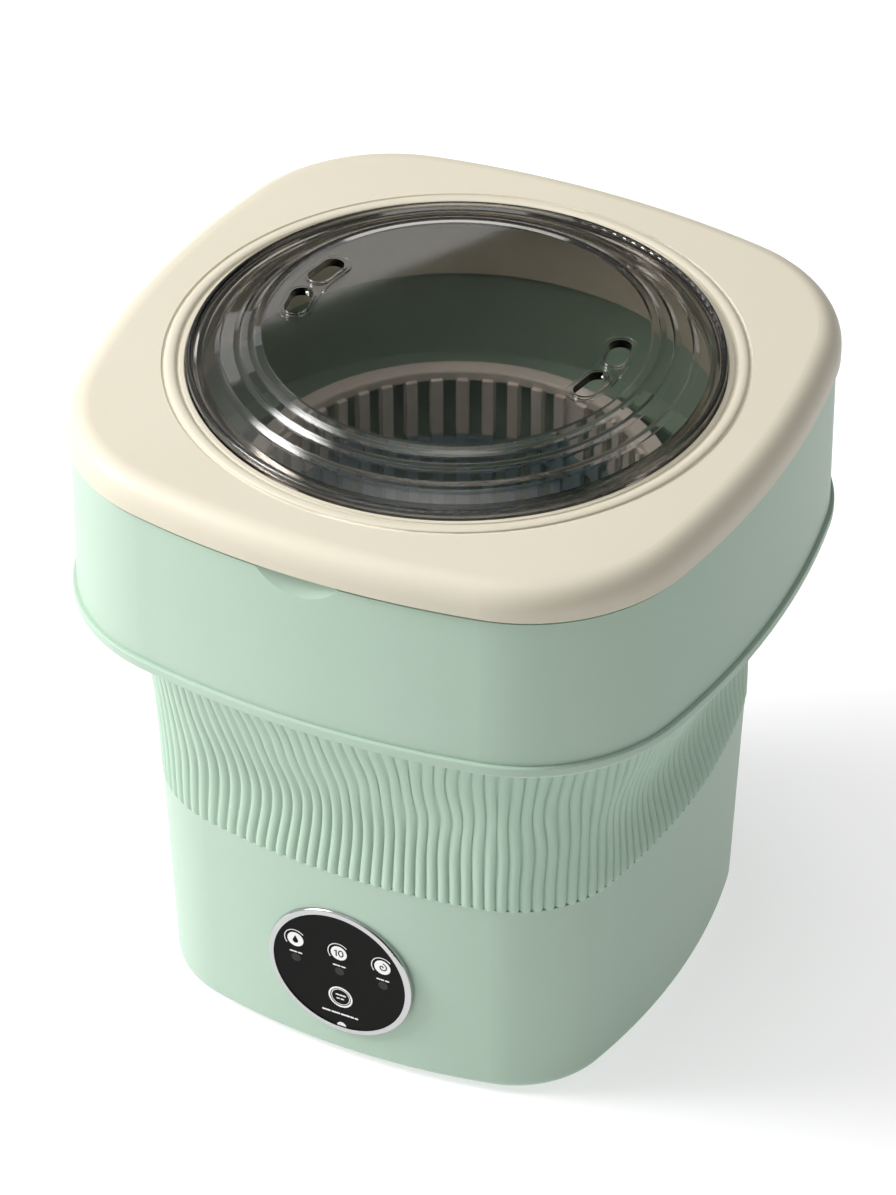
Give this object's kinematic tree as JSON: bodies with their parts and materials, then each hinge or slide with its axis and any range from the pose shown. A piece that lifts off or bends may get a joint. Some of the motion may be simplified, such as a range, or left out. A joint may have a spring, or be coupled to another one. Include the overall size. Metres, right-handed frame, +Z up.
{
  "type": "portable mini washer",
  "caption": "Foldable portable mini washer with a round lift-off smoked lid, a slotted basket, a ribbed collapsing middle and a round touch panel on the base.",
  "frame": {"origin": "bottom centre of the bounding box, on the surface that the feet stand on", "axes": "+Z up, -Y toward the control panel, +X to the right seen from the panel side"},
  "size_m": [0.32, 0.32, 0.346],
  "materials": {
    "mint_shell": "satin moulded plastic, pale mint",
    "cream_shell": "satin moulded plastic, warm cream",
    "mint_rubber": "soft ribbed elastomer, mint",
    "smoked_lid": "smoked clear plastic, glossy",
    "panel_black": "glossy black touch panel",
    "chrome_ring": "bright plated ring",
    "key_white": "white printed key",
    "basket_cream": "satin moulded plastic, pale",
    "basket_blue": "satin moulded plastic, blue grey",
    "black_rubber": "black rubber",
    "dark_plastic": "textured dark plastic",
    "grey_plastic": "moulded grey plastic",
    "tube_grey": "soft hose",
    "steel": "zinc plated steel",
    "motor_metal": "drawn steel can",
    "pulley_white": "natural nylon",
    "circuit_green": "solder mask",
    "component_dark": "moulded component",
    "led_lens": "diffusing lens"
  },
  "bodies": {
    "base": {"base_housing": "mint_shell", "bottom_plate": "dark_plastic", "foot_1": "black_rubber", "foot_2": "black_rubber", "foot_3": "black_rubber", "foot_4": "black_rubber", "bottom_screws": "steel", "basin_floor": "mint_shell", "basin_wall": "mint_shell", "basin_flange": "mint_shell", "lower_clamp_ring": "grey_plastic", "lower_clamp_screws": "steel", "bearing_housing": "grey_plastic", "bearing_screws": "steel", "bearing_lower": "steel", "bearing_upper": "steel", "shaft_seal": "black_rubber", "motor_bracket": "steel", "motor_can": "motor_metal", "motor_screws": "steel", "drive_belt": "black_rubber", "control_bezel": "chrome_ring", "control_glass": "panel_black", "key_inlays": "key_white", "control_board": "circuit_green", "control_leds": "led_lens", "control_standoffs": "grey_plastic", "power_board": "circuit_green", "power_components": "component_dark", "dc_jack": "component_dark", "drain_spout": "grey_plastic", "drain_tube": "tube_grey", "panel_cable": "black_rubber", "bellows": "mint_rubber"},
    "drain_cap": {"drain_cap": "black_rubber"},
    "motor_rotor": {"motor_shaft": "steel", "motor_pulley": "pulley_white"},
    "pulsator": {"drive_shaft": "steel", "large_pulley": "pulley_white", "pulley_nut": "steel", "pulsator": "basket_blue", "pulsator_screw": "steel", "pulsator_cap": "basket_blue"},
    "basket": {"basket_ring": "basket_cream", "basket_cup": "basket_blue"},
    "upper": {"upper_housing": "mint_shell", "liner_plate": "mint_shell", "liner_wall": "mint_shell", "liner_ledge": "mint_shell", "upper_clamp_ring": "grey_plastic", "upper_clamp_screws": "steel", "liner_screws": "steel"},
    "cover": {"top_cover": "cream_shell", "cover_tongue": "cream_shell", "splash_skirt": "cream_shell", "skirt_screws": "steel", "lid_gasket": "black_rubber"},
    "lid": {"lid": "smoked_lid"}
  },
  "joints": [
    {"name": "fold", "type": "slide", "parent": "base", "child": "upper", "axis": [0, 0, -1], "range_m": [0, 0.075], "deforming": ["bellows"]},
    {"name": "cover_lift", "type": "slide", "parent": "upper", "child": "cover", "axis": [0, 0, 1], "range_m": [0, 0.06]},
    {"name": "lid_lift", "type": "slide", "parent": "cover", "child": "lid", "axis": [0, 0, 1], "range_m": [0, 0.05]},
    {"name": "pulsator_spin", "type": "hinge", "parent": "base", "child": "pulsator", "pos_m": [0, 0, 0.019], "axis": [0, 0, 1], "continuous": true},
    {"name": "motor_spin", "type": "hinge", "parent": "base", "child": "motor_rotor", "pos_m": [0.06, 0.036, 0.019], "axis": [0, 0, 1], "continuous": true},
    {"name": "basket_lift", "type": "slide", "parent": "pulsator", "child": "basket", "axis": [0, 0, 1], "range_m": [0, 0.06]},
    {"name": "drain_cap_pull", "type": "slide", "parent": "base", "child": "drain_cap", "axis": [0, 1, 0], "range_m": [0, 0.02]}
  ],
  "couplings": [
    {"joint": "motor_spin", "follows": "pulsator_spin", "ratio": 4.2}
  ]
}
